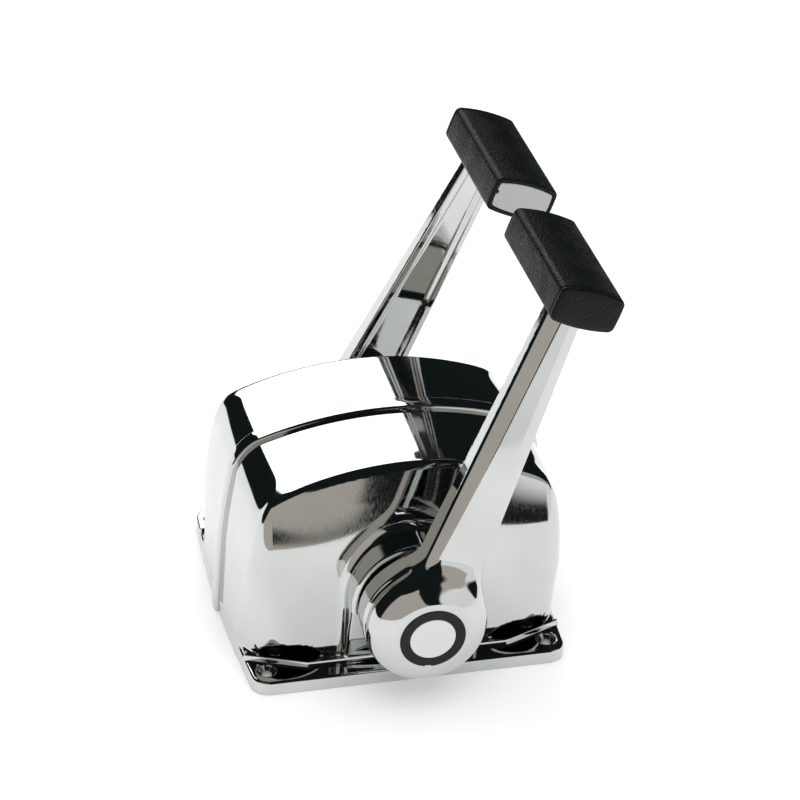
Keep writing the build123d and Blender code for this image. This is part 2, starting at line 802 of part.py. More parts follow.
# Cable barrel: turns in the crank arm's tip and takes the cable's threaded end.
clip_face = crank_inner - touch_gap
with BuildPart() as cable_barrel:
    for start, length, radius in (
        (clip_face - 2 * clip_thickness, clip_thickness, barrel_pin / 2),
        (clip_face - clip_thickness, clip_thickness, barrel_pin / 3),
        (clip_face, crank_thickness + 2 * touch_gap, barrel_pin / 2),
        (crank_outer + touch_gap, barrel_length, barrel_size / 2),
    ):
        with BuildSketch(across(start)):
            with Locations(tip):
                Circle(radius)
        extrude(amount=length)
    with BuildSketch(Plane.XY.offset(tip[1] - barrel_size)):
        with Locations((tip[0], -barrel_middle)):
            Circle(cable_hole / 2)
    extrude(amount=2 * barrel_size, mode=Mode.SUBTRACT)
save_pair(cable_barrel.part, "cable_barrel")

with BuildPart() as barrel_clip:
    with BuildSketch(across(clip_face - clip_thickness + seat_gap)):
        with Locations(tip):
            Circle(barrel_pin * 0.75)
            Circle(barrel_pin / 3 + seat_gap, mode=Mode.SUBTRACT)
    extrude(amount=clip_thickness - 2 * seat_gap)
save_pair(barrel_clip.part, "barrel_clip")

# Sprung plunger that rides on the disc's rim, and the threaded sleeve that holds it.
plunger_foot = axis_height + disc_radius + touch_gap
with BuildPart() as plunger:
    with BuildSketch(Plane.XZ.offset(disc_middle)):
        with BuildLine():
            Polyline(
                (0, plunger_foot),
                (0, plunger_foot + plunger_length),
                (plunger_size / 2, plunger_foot + plunger_length),
                (plunger_size / 2, plunger_foot + plunger_size / 2),
            )
            shoulder = (plunger_size / 2, plunger_foot + plunger_size / 2)
            RadiusArc(shoulder, (0, plunger_foot), plunger_size / 2)
        make_face()
    revolve(axis=Axis((0, -disc_middle, 0), (0, 0, 1)))
save_pair(plunger.part, "plunger")

sleeve_foot = bridge_bottom - sleeve_drop
with BuildPart() as plunger_sleeve:
    with BuildSketch(Plane.XY.offset(sleeve_foot)):
        with Locations((0, -disc_middle)):
            Circle(sleeve_size / 2 - seat_gap)
    extrude(amount=bridge_top - sleeve_foot)
    with BuildSketch(Plane.XY.offset(bridge_top)):
        with Locations((0, -disc_middle)):
            RegularPolygon(sleeve_hex / 2, 6, major_radius=False)
    extrude(amount=sleeve_size / 3)
    with BuildSketch(Plane.XY.offset(sleeve_foot)):
        with Locations((0, -disc_middle)):
            Circle(plunger_size / 2 + running_gap)
    extrude(amount=plunger_length, mode=Mode.SUBTRACT)
save_pair(plunger_sleeve.part, "plunger_sleeve")

# Clamp for the control cable's outer, screwed to the deck plate beside the slot.
with BuildPart() as cable_clamp:
    clamp_inner = crank_outer + touch_gap
    clamp_outer = clamp_screw_y + clamp_screw
    with BuildSketch(Plane.XY.offset(deck_plate)):
        with Locations((clamp_x, -(clamp_inner + clamp_outer) / 2)):
            RectangleRounded(clamp_length, clamp_outer - clamp_inner, flange_edge)
        with Locations((clamp_x, -barrel_middle)):
            Circle(conduit_size / 2, mode=Mode.SUBTRACT)
        with Locations((clamp_x, -clamp_screw_y)):
            with GridLocations(clamp_pitch, 0, 2, 1):
                Circle(clamp_screw / 2 + seat_gap, mode=Mode.SUBTRACT)
    extrude(amount=clamp_height)
save_pair(cable_clamp.part, "cable_clamp")

with BuildPart() as clamp_bolt:
    with BuildSketch(Plane.XY.offset(deck_plate / 4)):
        Circle(clamp_screw / 2)
    extrude(amount=deck_plate * 0.75 + clamp_height)
    with BuildSketch(Plane.XY.offset(deck_plate + clamp_height)):
        Circle(clamp_head / 2)
    extrude(amount=clamp_head_height)
spots = GridLocations(clamp_pitch, 2 * clamp_screw_y, 2, 2)
save(Compound(children=[Pos(clamp_x, 0, 0) * loc * clamp_bolt.part for loc in spots]), "clamp_screws")
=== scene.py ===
import json
import math

import bpy
import numpy as np
from mathutils import Matrix


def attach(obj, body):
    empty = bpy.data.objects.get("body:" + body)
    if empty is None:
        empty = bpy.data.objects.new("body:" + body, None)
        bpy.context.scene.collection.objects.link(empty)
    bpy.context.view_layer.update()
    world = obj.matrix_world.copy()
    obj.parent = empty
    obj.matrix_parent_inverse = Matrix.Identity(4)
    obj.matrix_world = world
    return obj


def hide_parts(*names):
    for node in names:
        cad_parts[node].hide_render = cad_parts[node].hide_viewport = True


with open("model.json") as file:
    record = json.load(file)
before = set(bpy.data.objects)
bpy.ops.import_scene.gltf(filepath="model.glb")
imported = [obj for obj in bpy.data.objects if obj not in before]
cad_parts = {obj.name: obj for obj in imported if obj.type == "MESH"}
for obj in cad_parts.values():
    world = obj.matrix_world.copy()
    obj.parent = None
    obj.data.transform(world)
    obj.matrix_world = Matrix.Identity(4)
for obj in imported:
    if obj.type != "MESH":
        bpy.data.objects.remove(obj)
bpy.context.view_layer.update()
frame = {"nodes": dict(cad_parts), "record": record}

mm = 0.001
print("frame loaded:", len(frame["nodes"]), "nodes")


def linear(hexColour):
    # sRGB hex turned to the linear colour that a shader socket takes
    parts = [int(hexColour[i:i + 2], 16) / 255 for i in (0, 2, 4)]
    return [c / 12.92 if c <= 0.04045 else ((c + 0.055) / 1.055) ** 2.4 for c in parts] + [1.0]


def newMaterial(name):
    mat = bpy.data.materials.new(name)
    mat.use_nodes = True
    return mat, mat.node_tree.nodes["Principled BSDF"]


def feed(mat, node, links):
    # links into a node, given as {input: (node, output)}
    for key, (source, output) in links.items():
        mat.node_tree.links.new(source.outputs[output], node.inputs[key])


def addNode(mat, kind, settings=None, inputs=None, links=None, stops=()):
    # one node with its settings, its input values, its links, and for a colour ramp its two
    # (position, hex colour) stops
    node = mat.node_tree.nodes.new(kind)
    for i, (position, colour) in enumerate(stops):
        node.color_ramp.elements[i].position = position
        node.color_ramp.elements[i].color = linear(colour)
    for key, value in (settings or {}).items():
        setattr(node, key, value)
    for key, value in (inputs or {}).items():
        node.inputs[key].default_value = value
    feed(mat, node, links or {})
    return node


def makePiece(name, points, faces, normals, material, body, replaced=()):
    # points in mm as rows; the mesh holds the place, so the object stays at the origin
    mesh = bpy.data.meshes.new(name)
    mesh.from_pydata((points * mm).tolist(), [], faces)
    mesh.validate()
    mesh.polygons.foreach_set("use_smooth", np.ones(len(mesh.polygons), bool))
    mesh.normals_split_custom_set_from_vertices(normals.tolist())
    mesh.materials.append(material)
    mesh.update()
    obj = bpy.data.objects.new(name, mesh)
    bpy.context.scene.collection.objects.link(obj)
    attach(obj, body)
    if replaced:
        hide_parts(*replaced)
    return obj


# Decorative chrome over a polished casting: a faintly cool mirror, with the shallow waviness of
# hand polishing and wiping scratches, drawn coarser than real ones, that only soften its edges
chromeLook = {
    "tint": "cdd0cf", "wipe": "c4c6c5", "roughness": 0.035, "scratched": 0.091,
    "polishSize": 0.045, "waviness": 0.04, "waveDepth": 0.0004, "scratchSize": 0.0009,    # metres
    # the last two: the painted shade of the screw pockets' plate, a darker colour, and the duller gloss there
    "paintedPocketShade": "2a3232", "recessDull": 0.32,
}
chrome, shader = newMaterial("polished_chrome_plate")
place = addNode(chrome, "ShaderNodeTexCoord")
wave = addNode(chrome, "ShaderNodeTexNoise", inputs={"Scale": 1 / chromeLook["polishSize"], "Detail": 2.0},
               links={"Vector": (place, "Object")})
stretch = addNode(chrome, "ShaderNodeMapping", inputs={"Scale": (1.0, 0.15, 0.3)},
                  links={"Vector": (place, "Object")})
hairs = addNode(chrome, "ShaderNodeTexNoise", inputs={"Scale": 1 / chromeLook["scratchSize"], "Detail": 3.0},
                links={"Vector": (stretch, "Vector")})
gloss = addNode(chrome, "ShaderNodeMapRange", inputs={"From Min": 0.35, "From Max": 0.8,
                "To Min": chromeLook["roughness"], "To Max": chromeLook["scratched"]},
                links={"Value": (hairs, "Fac")})
tone = addNode(chrome, "ShaderNodeValToRGB", links={"Fac": (wave, "Fac")},
               stops=[(0.3, chromeLook["tint"]), (0.75, chromeLook["wipe"])])
lift = addNode(chrome, "ShaderNodeBump", links={"Height": (wave, "Fac")},
               inputs={"Strength": chromeLook["waviness"], "Distance": chromeLook["waveDepth"]})
# painted shade: in the screw pockets the plate's colour is darkened where shade falls; the buffing wheel
# doesn't reach there, so its gloss is duller
paintedPocketShade = addNode(chrome, "ShaderNodeAttribute", settings={"attribute_name": "paintedPocketShade"})
tone = addNode(chrome, "ShaderNodeMix", settings={"data_type": "RGBA"},
               inputs={7: linear(chromeLook["paintedPocketShade"])}, links={0: (paintedPocketShade, "Fac"), 6: (tone, "Color")})
gloss = addNode(chrome, "ShaderNodeMath", settings={"operation": "MULTIPLY_ADD"},
                inputs={1: chromeLook["recessDull"]}, links={0: (paintedPocketShade, "Fac"), 2: (gloss, "Result")})
shader.inputs["Metallic"].default_value = 1.0
feed(chrome, shader, {"Base Color": (tone, 2), "Roughness": (gloss, "Value"), "Normal": (lift, "Normal")})

# Moulded black rubber: a fine leather-like grain, half matt, greyer where hands polish it
rubberLook = {
    "dark": "050b0b", "worn": "0d1413", "hazePerMetre": 70.0, "smooth": 0.34, "dull": 0.52,
    "grain": 0.0013, "grainStrength": 0.8, "grainDepth": 0.0004, "ior": 1.52, "specular": 0.22,
}
rubber, shader = newMaterial("moulded_black_rubber")
place = addNode(rubber, "ShaderNodeTexCoord")
grain = addNode(rubber, "ShaderNodeTexVoronoi", settings={"feature": "SMOOTH_F1"},
                inputs={"Scale": 1 / rubberLook["grain"], "Smoothness": 0.6},
                links={"Vector": (place, "Object")})
haze = addNode(rubber, "ShaderNodeTexNoise", inputs={"Scale": rubberLook["hazePerMetre"], "Detail": 4.0},
               links={"Vector": (place, "Object")})
tone = addNode(rubber, "ShaderNodeValToRGB", links={"Fac": (haze, "Fac")},
               stops=[(0.35, rubberLook["dark"]), (0.8, rubberLook["worn"])])
gloss = addNode(rubber, "ShaderNodeMapRange", inputs={"From Min": 0.3, "From Max": 0.7,
                "To Min": rubberLook["smooth"], "To Max": rubberLook["dull"]},
                links={"Value": (haze, "Fac")})
lift = addNode(rubber, "ShaderNodeBump", links={"Height": (grain, "Distance")},
               inputs={"Strength": rubberLook["grainStrength"], "Distance": rubberLook["grainDepth"]})
shader.inputs["IOR"].default_value = rubberLook["ior"]
shader.inputs["Specular IOR Level"].default_value = rubberLook["specular"]
feed(rubber, shader, {"Base Color": (tone, "Color"), "Roughness": (gloss, "Result"),
                      "Normal": (lift, "Normal")})

# Shared by the plain finishes: their gloss runs between two shares of the roughness
plainLook = {"glossier": 0.8, "duller": 1.25, "bumpDepth": 0.0002, "plasticSpecular": 0.25}


def plainFinish(name, dark, light, roughness, metallic, grainSize, bump, ior=None):
    # a moulded or machined surface: two close tones, uneven gloss and a fine grain
    mat, shader = newMaterial(name)
    place = addNode(mat, "ShaderNodeTexCoord")
    cloud = addNode(mat, "ShaderNodeTexNoise", inputs={"Scale": 1 / grainSize, "Detail": 3.0},
                    links={"Vector": (place, "Object")})
    tone = addNode(mat, "ShaderNodeValToRGB", links={"Fac": (cloud, "Fac")},
                   stops=[(0.3, dark), (0.7, light)])
    gloss = addNode(mat, "ShaderNodeMapRange", links={"Value": (cloud, "Fac")},
                    inputs={"From Min": 0.3, "From Max": 0.7, "To Min": roughness * plainLook["glossier"],
                            "To Max": roughness * plainLook["duller"]})
    lift = addNode(mat, "ShaderNodeBump", inputs={"Strength": bump, "Distance": plainLook["bumpDepth"]},
                   links={"Height": (cloud, "Fac")})
    shader.inputs["Metallic"].default_value = metallic
    if ior:
        shader.inputs["IOR"].default_value = ior
        shader.inputs["Specular IOR Level"].default_value = plainLook["plasticSpecular"]
    feed(mat, shader, {"Base Color": (tone, "Color"), "Roughness": (gloss, "Result"),
                       "Normal": (lift, "Normal")})
    return mat


# Moulded ABS: near black and half matt, with an even fine grain
blackAbs = plainFinish("moulded_black_abs", "070e0e", "0d1515", 0.42, 0.0, 0.0012, 0.12, 1.53)
# Anodised aluminium: pale satin, its highlights spread
satinDisc = plainFinish("satin_anodised_aluminium", "d2d4d4", "dcdede", 0.32, 1.0, 0.0006, 0.1)
# ABS with a fine spark-eroded texture: an even light grey that mirrors nothing
greyAbs = plainFinish("textured_grey_abs", "c9cbc9", "d3d5d3", 0.5, 0.0, 0.0005, 0.25, 1.53)
# Sand-cast aluminium: dull grey and slightly rough
castAlloy = plainFinish("as_cast_aluminium", "9a9b9a", "b2b3b1", 0.5, 1.0, 0.0015, 0.5)
# Ground stainless shafts: grey with a tight sheen
groundSteel = plainFinish("ground_stainless_steel", "a8a9ab", "bbbcbe", 0.22, 1.0, 0.0004, 0.1)
# Bright stainless fasteners: a soft mirror
brightSteel = plainFinish("bright_stainless_steel", "b9babb", "cfd0d0", 0.18, 1.0, 0.0008, 0.08)
# Oil-soaked sintered bronze bushes: brown, half matt and finely porous
sinteredBronze = plainFinish("sintered_bronze", "8a6a3c", "a5834f", 0.42, 1.0, 0.0007, 0.4)

slotLooks = {
    "cast_chrome": chrome, "black_rubber": rubber, "black_plastic": blackAbs, "satin_disc": satinDisc,
    "grey_plastic": greyAbs, "frame_alloy": castAlloy, "shaft_steel": groundSteel,
    "screw_steel": brightSteel, "bronze": sinteredBronze,
}
slotOf = {row["node"]: row["material_slot"] for row in frame["record"]["subparts"]}
for node, obj in frame["nodes"].items():
    obj.data.materials.clear()
    obj.data.materials.append(slotLooks[slotOf[node]])
print("materials set on", len(slotOf), "nodes")


# implicit shapes: a field in mm, negative inside, made a skin

def roundMax(a, b, radius):
    # the common part of two fields, its outer edge rounded: the distance to a quarter circle
    corner = np.hypot(np.maximum(a + radius, 0), np.maximum(b + radius, 0))
    return np.minimum(np.maximum(a, b), -radius) + corner


def roundMin(a, b, radius):
    # two fields joined, with a fillet of that radius where they meet
    return -roundMax(-a, -b, radius)


def slope(field, points, step=0.04):
    # the field's gradient by central differences
    grad = np.empty_like(points)
    for axis in range(3):
        shift = np.zeros(3)
        shift[axis] = step
        grad[:, axis] = (field(*(points + shift).T) - field(*(points - shift).T)) / (2 * step)
    return grad


def skinOf(field, low, high, step):
    # a vertex in each cell of a grid that the surface crosses, at the mean of its edge crossings,
    # then moved down the gradient onto the surface; a quad round each crossed edge
    axes = [np.arange(lo - step, hi + 2 * step, step) for lo, hi in zip(low, high)]
    values = field(*np.meshgrid(*axes, indexing="ij"))
    inside = values < 0
    count = [n - 1 for n in values.shape]
    corners = [inside[i:i + count[0], j:j + count[1], k:k + count[2]]
               for i in (0, 1) for j in (0, 1) for k in (0, 1)]
    total = np.sum(corners, axis=0, dtype=np.int8)
    cells = np.argwhere((total > 0) & (total < 8))
    index = np.full(count, -1, np.int64)
    index[tuple(cells.T)] = np.arange(len(cells))
    sums, hits = np.zeros((len(cells), 3)), np.zeros(len(cells))
    for axis in range(3):
        others = [a for a in range(3) if a != axis]
        for u in (0, 1):
            for v in (0, 1):
                start = cells.copy()
                start[:, others[0]] += u
                start[:, others[1]] += v
                stop = start.copy()
                stop[:, axis] += 1
                f0, f1 = values[tuple(start.T)], values[tuple(stop.T)]
                crossed = (f0 < 0) != (f1 < 0)
                share = np.where(crossed, f0 / np.where(crossed, f0 - f1, 1), 0)
                point = start.astype(float)
                point[:, axis] += share
                sums += point * crossed[:, None]
                hits += crossed
    origin = np.array([a[0] for a in axes])
    points = origin + step * sums / hits[:, None]
    most = 0.4 * step    # the furthest that a point moves at a time
    for _ in range(4):
        grad = slope(field, points)
        move = field(*points.T)[:, None] * grad / np.maximum((grad ** 2).sum(1), 0.2)[:, None]
        points -= np.clip(move, -most, most)
    quads = []
    for axis in range(3):
        u, v = [a for a in range(3) if a != axis]
        ahead = np.roll(inside, -1, axis)
        edges = np.argwhere(inside != ahead)
        edges = edges[(edges[:, axis] < count[axis]) & (edges[:, u] > 0) & (edges[:, v] > 0)
                      & (edges[:, u] < count[u]) & (edges[:, v] < count[v])]
        around = []
        for du, dv in ((-1, -1), (0, -1), (0, 0), (-1, 0)):
            cell = edges.copy()
            cell[:, u] += du
            cell[:, v] += dv
            around.append(index[tuple(cell.T)])
        quad = np.stack(around, 1)
        flipped = inside[tuple(edges.T)] == (axis == 1)
        quad[flipped] = quad[flipped][:, ::-1]
        quads.append(quad)
    quads = np.concatenate(quads)
    return points, quads[(quads >= 0).all(1)]


def unit(vectors):
    # each row at length 1
    return vectors / np.maximum(np.linalg.norm(vectors, axis=1), 1e-9)[:, None]


def fade(t):
    # from 1, well below t = 0, to 0, well above it, by the logistic curve
    return 1 / (1 + np.exp(np.clip(t, -50, 50)))


sides = {"starboard": np.array([1, 1, 1]), "port": np.array([1, -1, 1])}


def bothSides(kind, field, low, high, piece, body=None):
    # a skin for the starboard side and its mirror image, whose faces run the other way round;
    # without a body, each rides on the one that has the name of its node
    points, quads = skinOf(field, low, high, piece["cell"])
    normals = unit(slope(field, points, piece["normalStep"]))
    print(kind + ":", len(points), "points,", len(quads), "faces a side")
    made = []
    for sideName, mirror in sides.items():
        node = sideName + "_" + kind.lower()
        faces = quads if mirror[1] > 0 else quads[:, ::-1]
        made.append(makePiece(sideName + kind, points * mirror, faces.tolist(), normals * mirror, chrome,
                              body or node, [node]))
    return points, made


# the housing's two covers, in mm
housing = {
    "length": 200.0, "width": 192.0, "bulge": 4.0, "axis": 58.0,
    "flange": 9.5, "flangeCorner": 10.0, "flangeEdge": 1.7, "footFillet": 2.2,
    "foot": 79.0, "shoulder": 67.0, "shoulderZ": 117.0, "wallCosine": 0.985,    # side walls
    "taper": 0.5, "rollFrom": 0.64, "rollLater": 0.09, "rollSoft": 0.04,    # shares of their height
    "planBow": 1.8, "bowLength": 85.0, "bowMost": 1.2,
    "crown": 140.5, "drop": 2.4, "domeMid": 239.0, "domeSide": 161.0, "domeCorner": 13.0,    # dome
    "sideEdge": 4.0, "edgeFade": 2.5,
    "knee": 56.0, "draft": 1.2, "lean": 10.0, "endBow": 1.4,    # ends
    "cornerFoot": 32.0, "cornerKnee": 15.0, "cornerTop": 1.6,
    "ledge": 11.0, "ribLine": 82.5, "ribBend": 65.0, "ledgeSlant": (0.3485, 0.937),    # inner ledge
    "ledgeInset": 1.6, "ledgeCorner": 3.0, "ledgeEdge": 1.0,
    "pocket": 15.0, "pocketX": 79.0, "pocketY": 73.0, "pocketShort": 13.5, "pocketLong": 25.0,
    "pocketHigh": 11.5, "pocketFoot": 3.5, "pocketEdge": 2.0,
    "shadeAndDullFrom": 0.9, "shadeAndDullFade": 0.25, "shadeAndDullBelow": 0.4,    # painted shade and duller gloss in the pockets
    "screwX": 81.5, "screwY": 67.0, "mountX": 90.0, "mountY": 83.0, "mountSink": 5.4, "mountEdge": 1.2,
    "bossFace": 93.5, "bossRadius": 41.0, "bossEdge": 2.2, "bossFillet": 5.0,
    "skirtFrom": 54.0, "skirtSlope": 0.265, "skirtCosine": 0.967,
    "wall": 5.5, "roofExtra": 4.6, "roomCorner": (0.75, 0.9, 96.0),    # the space inside
    "plateX": 93.0, "plateY": 74.0, "plateZ": 5.0, "seamGap": 0.02,
    "cell": 1.2, "normalStep": 0.15,    # the skin's grid
}
h = housing


def endHalf(y):
    # half the length at the deck bulges by a parabola across the width
    return h["length"] / 2 + h["bulge"] * (1 - (2 * y / h["width"]) ** 2)


def domeArc(y):
    # radius and centre height of the dome's arc, which change with the square of y
    share = (2 * y / h["width"]) ** 2
    radius = h["domeMid"] + (h["domeSide"] - h["domeMid"]) * share
    return radius, h["crown"] - h["drop"] * share - radius


def domeField(x, y, z):
    # distance from the dome's arc
    radius, centre = domeArc(y)
    return np.hypot(x, z - centre) - radius


def endField(x, y, z):
    # distance from the end: nearly upright to the knee, then a parabola that leans in
    half = endHalf(y)
    radius, centre = domeArc(y)
    topZ = centre + np.sqrt(radius ** 2 - (half - h["lean"]) ** 2)
    s = (z - h["knee"]) / (topZ - h["knee"])
    upper = half - h["draft"] - (h["lean"] - h["draft"]) * s + 4 * h["endBow"] * s * (1 - s)
    lower = half - h["draft"] * z / h["knee"]
    return np.abs(x) - np.where(z > h["knee"], upper, lower)


def wallHalf(x, z):
    # half the width: a gentle taper that rolls in faster over its top (a softened ramp), later
    # towards the corners, and a parabola that bows the upper wall along its length
    s = (z - h["flange"]) / (h["shoulderZ"] - h["flange"])
    far = np.minimum((x / h["bowLength"]) ** 2, h["bowMost"])
    start = h["rollFrom"] + h["rollLater"] * far
    roll = h["rollSoft"] * np.log1p(np.exp((s - start) / h["rollSoft"]))
    full = h["rollSoft"] * np.log1p(np.exp((1 - start) / h["rollSoft"]))
    bow = h["planBow"] * (0.5 - far) * np.clip(s, 0, 1)
    return h["foot"] - (h["foot"] - h["shoulder"]) * (h["taper"] * s + (1 - h["taper"]) * roll / full) + bow


def cornerRadius(z):
    # the upright corners tighten evenly from the foot to the knee, and again up to the crown
    s = np.clip((z - h["flange"]) / (h["knee"] - h["flange"]), 0, 1)
    t = np.clip((z - h["knee"]) / (h["crown"] - h["knee"]), 0, 1)
    return h["cornerFoot"] + (h["cornerKnee"] - h["cornerFoot"]) * s + (h["cornerTop"] - h["cornerKnee"]) * t


def pocketField(x, y, z):
    # screw pocket: a flattened ball, longer towards the boss, scaled to be a distance along its depth
    off = np.abs(x) - h["pocketX"]
    reach = np.where(off > 0, h["pocketShort"], h["pocketLong"])
    return np.sqrt((h["pocket"] * off / reach) ** 2 + (y + h["pocketY"]) ** 2
                   + (h["pocket"] / h["pocketHigh"] * (z - h["ledge"])) ** 2) - h["pocket"]


def coverField(x, y, z):
    # the starboard cover: block, flange, ledge and boss joined by fillets, less pockets and holes
    end, side, dome = endField(x, y, z), h["wallCosine"] * (-y - wallHalf(x, z)), domeField(x, y, z)
    # the dome's edge is wide over the ends and tight over the side walls
    edge = h["sideEdge"] + (h["domeCorner"] - h["sideEdge"]) * fade((side - end) / h["edgeFade"])
    block = roundMax(roundMax(end, side, cornerRadius(z)), dome, edge)
    flange = roundMax(roundMax(end, -y - h["width"] / 2, h["flangeCorner"]), z - h["flange"], h["flangeEdge"])
    along, outwards = h["ledgeSlant"]
    slant = along * (np.abs(x) - h["ribBend"]) - outwards * (y + h["ribLine"])
    ledge = roundMax(np.maximum(-y - h["ribLine"], slant), end + h["ledgeInset"], h["ledgeCorner"])
    ledge = roundMax(ledge, z - h["ledge"], h["ledgeEdge"])
    # the boss is a round nose above the shaft line and drops straight down below it
    nose = np.where(z > h["axis"], np.hypot(x, z - h["axis"]), np.abs(x)) - h["bossRadius"]
    skirt = h["skirtCosine"] * (-y - h["bossFace"] + h["skirtSlope"] * (h["skirtFrom"] - z))
    boss = roundMax(nose, np.maximum(-y - h["bossFace"], skirt), h["bossEdge"])
    solid = roundMin(block, np.minimum(flange, ledge), h["footFillet"])
    solid = roundMin(solid, boss, h["bossFillet"])
    pocket = roundMax(pocketField(x, y, z), h["ledge"] - z, h["pocketFoot"])
    hole = np.hypot(np.abs(x) - h["mountX"], y + h["mountY"]) - h["mountSink"]
    return roundMax(roundMax(solid, -pocket, h["pocketEdge"]), -hole, h["mountEdge"])


def cavityField(x, y, z):
    # the space inside, and the recess in the underside that takes the deck plate
    room = np.maximum(endField(x, y, z), domeField(x, y, z)) + h["wall"] + h["roofExtra"]
    room = np.maximum(room, -y - wallHalf(x, z) + h["wall"])
    along, across, reach = h["roomCorner"]
    room = np.maximum(np.maximum(room, h["plateZ"] - z), along * np.abs(x) + across * np.abs(y) - reach)
    plate = np.maximum(np.maximum(np.abs(x) - h["plateX"], np.abs(y) - h["plateY"]), z - h["plateZ"])
    return np.minimum(room, plate)


def hollowCover(x, y, z):
    # the cover less the space inside, cut off at the seam and at the deck
    solid = np.maximum(coverField(x, y, z), -cavityField(x, y, z))
    return np.maximum(np.maximum(solid, y + h["seamGap"]), -z)


half = h["length"] / 2 + h["bulge"]
points, covers = bothSides("Cover", hollowCover, (-half, -h["width"] / 2, 0), (half, 0, h["crown"]), h,
                           "housing")
# the share of painted shade and duller gloss at each point: a soft step over the pocket's surface, above the
# ledge
paintedShadeAndDull = fade((pocketField(*points.T) - h["shadeAndDullFrom"]) / h["shadeAndDullFade"])
paintedShadeAndDull[points[:, 2] <= h["ledge"] - h["shadeAndDullBelow"]] = 0
for cover in covers:
    cover.data.attributes.new("paintedPocketShade", "FLOAT", "POINT").data.foreach_set("value", paintedShadeAndDull)


def rounded(corners, radii, steps=6):
    # corners (n, 2) of a loop: each becomes a conic arc of its own radius, the point weighted by
    # the sine of half its angle, and takes at most 0.49 of the shorter side beside it
    corners = np.array(corners, float)
    before, after = np.roll(corners, 1, 0) - corners, np.roll(corners, -1, 0) - corners
    reach = np.minimum(np.linalg.norm(before, axis=1), np.linalg.norm(after, axis=1))
    before, after = unit(before), unit(after)
    halfAngle = np.arccos(np.clip((before * after).sum(1), -1, 1)) / 2
    back = np.minimum(np.asarray(radii) / np.tan(halfAngle), 0.49 * reach)[:, None]
    start, end = (corners + before * back)[:, None], (corners + after * back)[:, None]
    t = np.linspace(0, 1, steps)[None, :, None]
    pull = 2 * np.sin(halfAngle)[:, None, None] * t * (1 - t)
    arcs = (1 - t) ** 2 * start + pull * corners[:, None] + t ** 2 * end
    return (arcs / ((1 - t) ** 2 + pull + t ** 2)).reshape(-1, 2)


def gridFaces(rows, columns):
    # quads between the rows of a grid whose columns close on themselves
    r = np.arange(rows - 1)[:, None] * columns
    c = np.arange(columns)[None, :]
    d = (c + 1) % columns
    return np.stack([r + c, r + d, r + columns + d, r + columns + c], 2).reshape(-1, 4)


def areaNormals(points, quads):
    # each point takes the mean of its faces' normals, weighted by area, so that flats stay flat
    a, b, c, d = (points[quads[:, i]] for i in range(4))
    face = np.cross(c - a, d - b)
    total = np.zeros_like(points)
    for i in range(4):
        np.add.at(total, quads[:, i], face)
    return unit(total)


def capped(grid):
    # the first and last rows drawn in to their middles
    middle = grid[[0, -1]].mean(1, keepdims=True) + 0 * grid[[0, -1]]
    return np.concatenate([middle[:1], grid, middle[1:]])


def sweptPiece(name, grids, material, body, replaced=(), ring=False):
    # grids (rows, columns, 3) in mm; a ring also closes its last row on its first. The signed
    # volume, a sum of tetrahedra from the origin, tells whether the faces point outwards.
    points, quads = [], []
    for grid in grids if isinstance(grids, list) else [grids]:
        rows = np.concatenate([grid, grid[:1]]) if ring else grid
        flat = rows.reshape(-1, 3)
        faces = gridFaces(rows.shape[0], rows.shape[1])
        a, b, c, d = (flat[faces[:, i]] for i in range(4))
        if (np.cross(a, b) * c + np.cross(a, c) * d).sum() < 0:
            faces = faces[:, ::-1]
        quads.append(faces + sum(len(p) for p in points))
        points.append(flat)
    # points that coincide, as at a pole or a seam, become one, and a quad that so loses a corner
    # becomes a triangle
    points = np.concatenate(points)
    _, first, same = np.unique(np.round(points, 4), axis=0, return_index=True, return_inverse=True)
    points, quads = points[first], same.reshape(-1)[np.concatenate(quads)]
    lost = quads == np.roll(quads, -1, 1)
    thin = lost.any(1)
    kept = (lost[thin].argmax(1)[:, None] + 1 + np.arange(3)) % 4
    triangles = np.take_along_axis(quads[thin], kept, 1)
    triangles = triangles[(triangles != np.roll(triangles, 1, 1)).all(1)]
    faces = quads[~thin].tolist() + triangles.tolist()
    return makePiece(name, points, faces, areaNormals(points, quads), material, body, replaced)


def turned(profile, columns):
    # profile rows (distance outboard, radius) turned about the shaft line
    turn = np.linspace(0, 2 * np.pi, columns, endpoint=False)
    out, radius = profile[:, 0][:, None], profile[:, 1][:, None]
    return np.stack([radius * np.sin(turn), -out + 0 * turn, housing["axis"] + radius * np.cos(turn)], 2)


def upright(profile, x, y, columns=96):
    # profile rows (radius, height) turned about an upright line at x, y
    turn = np.linspace(0, 2 * np.pi, columns, endpoint=False)
    radius, height = profile[:, 0][:, None], profile[:, 1][:, None]
    return np.stack([x + radius * np.cos(turn), y + radius * np.sin(turn), height + 0 * turn], 2)


# the bead over the seam
band = {
    "width": 11.5, "proud": 3.0, "depth": 1.5, "edge": 1.7, "crown": 0.35, "crownRadius": 20.0, "foot": 0.3,
    "steps": 420, "nearest": 40.0, "furthest": 160.0, "nudge": 0.05,    # for the search of its line
}


def endOutline(x, z):
    # the middle section: the end's line and the dome's arc, their corner rounded
    return roundMax(endField(x, 0 * x, z), domeField(x, 0 * x, z), housing["domeCorner"])


